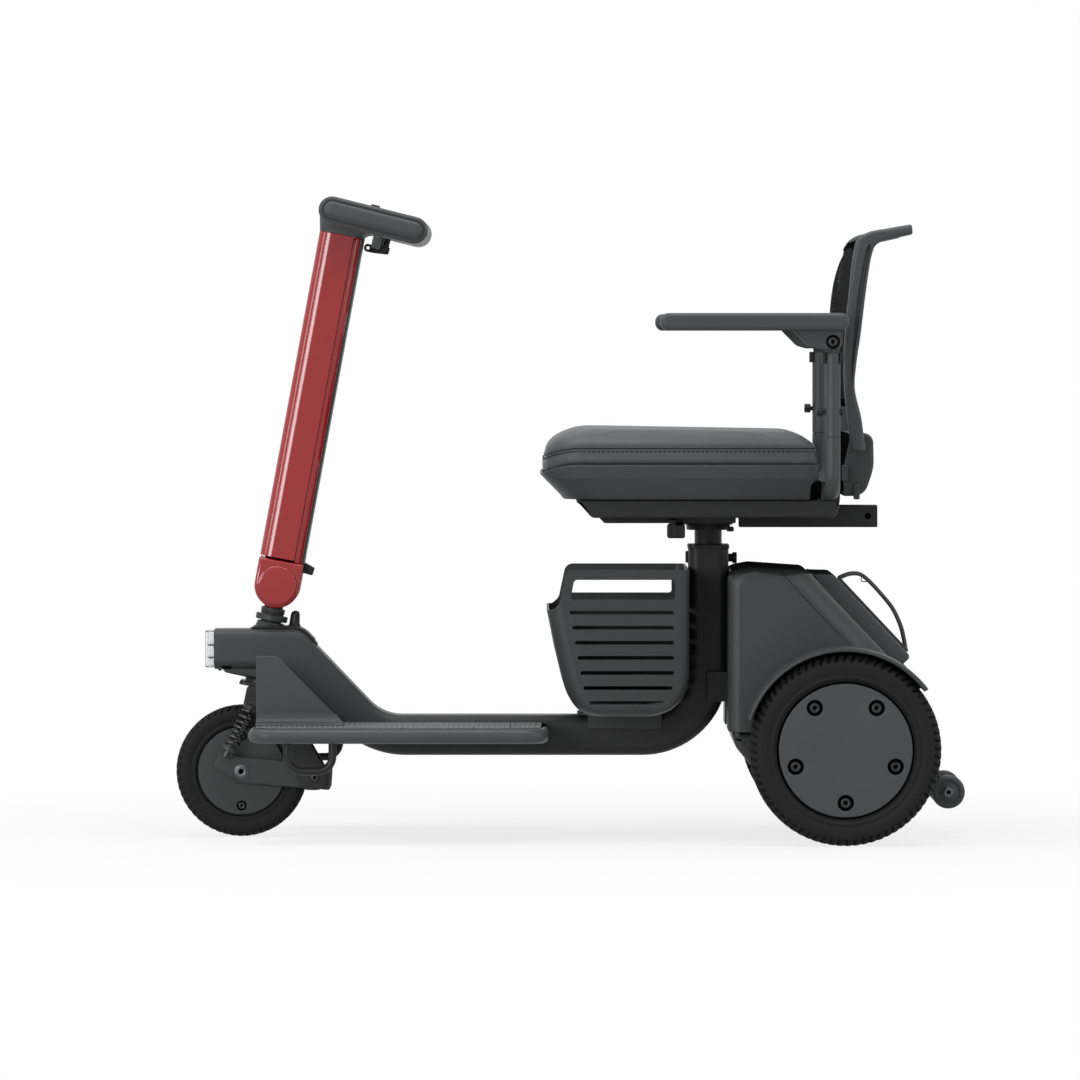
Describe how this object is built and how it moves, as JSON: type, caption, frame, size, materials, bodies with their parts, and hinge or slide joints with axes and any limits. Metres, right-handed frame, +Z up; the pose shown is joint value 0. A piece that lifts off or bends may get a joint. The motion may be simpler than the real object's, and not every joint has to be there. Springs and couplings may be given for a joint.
{
  "type": "mobility scooter",
  "caption": "Compact travel mobility scooter with a raked red tiller, loop handle, padded swivel seat with mesh back and armrests, foot deck, basket and rear drive with removable battery.",
  "frame": {"origin": "middle of the bounding box at floor level", "axes": "+Z up, +X towards the rear, so the scooter faces -X, and -Y to the rider's left"},
  "size_m": [1.0614, 0.545, 0.8594],
  "materials": {
    "painted_steel": "satin black paint",
    "plastic": "charcoal, lightly grained",
    "black_plastic": "black, matt",
    "rubber": "matt",
    "red_enamel": "gloss red enamel",
    "vinyl": "soft grained vinyl",
    "net": "open mesh cloth",
    "clear": "clear moulding",
    "steel": "dark plated"
  },
  "bodies": {
    "chassis": {"main_frame": "painted_steel", "head_cap": "black_plastic", "headlight_lens": "clear", "headlight_reflector": "steel", "deck_left": "plastic", "deck_right": "plastic", "toe_guard_left": "plastic", "toe_guard_right": "plastic", "guard_loop_left": "painted_steel", "guard_loop_right": "painted_steel", "rear_coupling": "painted_steel", "rear_cover": "plastic", "underbody": "black_plastic", "drive_unit": "steel", "controller": "black_plastic", "anti_tip_bracket": "painted_steel", "basket_bracket": "painted_steel"},
    "steering": {"steering_stem": "steel", "stem_boot": "rubber", "hinge_knuckle": "black_plastic", "fork": "painted_steel"},
    "front_arm": {"arm_left": "painted_steel", "arm_right": "painted_steel", "front_axle": "steel", "spring_left": "steel", "spring_right": "steel"},
    "front_wheel": {"front_tyre": "rubber", "front_hub": "plastic"},
    "tiller": {"tiller_column": "red_enamel", "tiller_foot": "red_enamel", "handle_neck": "plastic", "handle_shell": "plastic"},
    "tilt_lever": {"tilt_lever": "black_plastic"},
    "throttle": {"throttle": "plastic"},
    "key": {"key": "black_plastic"},
    "speed_dial": {"speed_dial": "black_plastic"},
    "rear_wheel_left": {"rear_tyre_left": "rubber", "rear_hub_left": "plastic"},
    "rear_wheel_right": {"rear_tyre_right": "rubber", "rear_hub_right": "plastic"},
    "roller_left": {"anti_tip_roller_left": "rubber"},
    "roller_right": {"anti_tip_roller_right": "rubber"},
    "seat_post": {"seat_post": "steel"},
    "height_pin": {"height_pin": "black_plastic"},
    "seat": {"seat_frame": "painted_steel", "seat_pan": "plastic", "seat_cushion": "vinyl", "arm_tube_left": "painted_steel", "arm_tube_right": "painted_steel", "hinge_housing": "plastic"},
    "swivel_lever": {"swivel_lever": "black_plastic"},
    "armrest_post_left": {"armrest_post_left": "painted_steel"},
    "armrest_post_right": {"armrest_post_right": "painted_steel"},
    "armrest_left": {"armrest_left": "plastic"},
    "armrest_right": {"armrest_right": "plastic"},
    "backrest": {"backrest_frame": "plastic", "back_net": "net"},
    "battery": {"battery": "plastic", "battery_strap": "black_plastic"},
    "basket": {"basket": "plastic"}
  },
  "joints": [
    {"name": "steering_turn", "type": "hinge", "parent": "chassis", "child": "steering", "pos_m": [-0.394, 0, 0.339], "axis": [0.1822, 0, 0.9833], "range_deg": [-40, 40]},
    {"name": "front_suspension", "type": "hinge", "parent": "steering", "child": "front_arm", "pos_m": [-0.343, 0, 0.0805], "axis": [0, 1, 0], "range_deg": [0, 8], "stiffness_Nm_per_rad": 120, "springref_deg": -19.48, "deforming": ["spring_left", "spring_right"]},
    {"name": "front_wheel_spin", "type": "hinge", "parent": "front_arm", "child": "front_wheel", "pos_m": [-0.4422, 0, 0.0885], "axis": [0, 1, 0], "continuous": true},
    {"name": "tiller_tilt", "type": "hinge", "parent": "steering", "child": "tiller", "pos_m": [-0.394, 0, 0.339], "axis": [0, 1, 0], "range_deg": [0, 12]},
    {"name": "tilt_lever_lift", "type": "hinge", "parent": "tiller", "child": "tilt_lever", "pos_m": [-0.36756, 0, 0.36919], "axis": [0, -1, 0], "range_deg": [0, 18], "stiffness_Nm_per_rad": 0.5, "springref_deg": -17.19},
    {"name": "throttle_pull", "type": "hinge", "parent": "tiller", "child": "throttle", "pos_m": [-0.2579, 0, 0.80306], "axis": [0, -1, 0], "range_deg": [0, 20], "stiffness_Nm_per_rad": 1, "springref_deg": -17.19},
    {"name": "key_turn", "type": "hinge", "parent": "tiller", "child": "key", "pos_m": [-0.2459, 0.03, 0.80574], "axis": [0.2419, 0, 0.9703], "range_deg": [0, 60]},
    {"name": "speed_dial_turn", "type": "hinge", "parent": "tiller", "child": "speed_dial", "pos_m": [-0.26242, 0, 0.84696], "axis": [0.2419, 0, 0.9703], "range_deg": [-135, 135]},
    {"name": "rear_wheel_left_spin", "type": "hinge", "parent": "chassis", "child": "rear_wheel_left", "pos_m": [0.364, -0.215, 0.127], "axis": [0, 1, 0], "continuous": true},
    {"name": "rear_wheel_right_spin", "type": "hinge", "parent": "chassis", "child": "rear_wheel_right", "pos_m": [0.364, 0.215, 0.127], "axis": [0, 1, 0], "continuous": true},
    {"name": "roller_left_spin", "type": "hinge", "parent": "chassis", "child": "roller_left", "pos_m": [0.5082, -0.06, 0.0626], "axis": [0, 1, 0], "continuous": true},
    {"name": "roller_right_spin", "type": "hinge", "parent": "chassis", "child": "roller_right", "pos_m": [0.5082, 0.06, 0.0626], "axis": [0, 1, 0], "continuous": true},
    {"name": "seat_height", "type": "slide", "parent": "chassis", "child": "seat_post", "axis": [0, 0, 1], "range_m": [0, 0.05]},
    {"name": "height_pin_pull", "type": "slide", "parent": "chassis", "child": "height_pin", "axis": [1, 0, 0], "range_m": [0, 0.008], "stiffness_N_per_m": 250, "springref_m": -0.008},
    {"name": "seat_swivel", "type": "hinge", "parent": "seat_post", "child": "seat", "pos_m": [0.187, 0, 0.424], "axis": [0, 0, 1], "range_deg": [-90, 90]},
    {"name": "swivel_lever_pull", "type": "hinge", "parent": "seat", "child": "swivel_lever", "pos_m": [0.146, -0.045, 0.4243], "axis": [0, 0, 1], "range_deg": [0, 20], "stiffness_Nm_per_rad": 0.5, "springref_deg": -11.46},
    {"name": "armrest_left_height", "type": "slide", "parent": "seat", "child": "armrest_post_left", "axis": [0, 0, 1], "range_m": [0, 0.045]},
    {"name": "armrest_left_flip", "type": "hinge", "parent": "armrest_post_left", "child": "armrest_left", "pos_m": [0.346, -0.25, 0.667], "axis": [0, 1, 0], "range_deg": [0, 90]},
    {"name": "armrest_right_height", "type": "slide", "parent": "seat", "child": "armrest_post_right", "axis": [0, 0, 1], "range_m": [0, 0.045]},
    {"name": "armrest_right_flip", "type": "hinge", "parent": "armrest_post_right", "child": "armrest_right", "pos_m": [0.346, 0.25, 0.667], "axis": [0, 1, 0], "range_deg": [0, 90]},
    {"name": "backrest_fold", "type": "hinge", "parent": "seat", "child": "backrest", "pos_m": [0.384, 0, 0.53], "axis": [0, -1, 0], "range_deg": [0, 60]},
    {"name": "battery_lift", "type": "slide", "parent": "chassis", "child": "battery", "axis": [0.7278, 0, 0.6858], "range_m": [0, 0.075]},
    {"name": "basket_lift", "type": "slide", "parent": "chassis", "child": "basket", "axis": [-0.8, 0, 0.6], "range_m": [0, 0.05]}
  ]
}
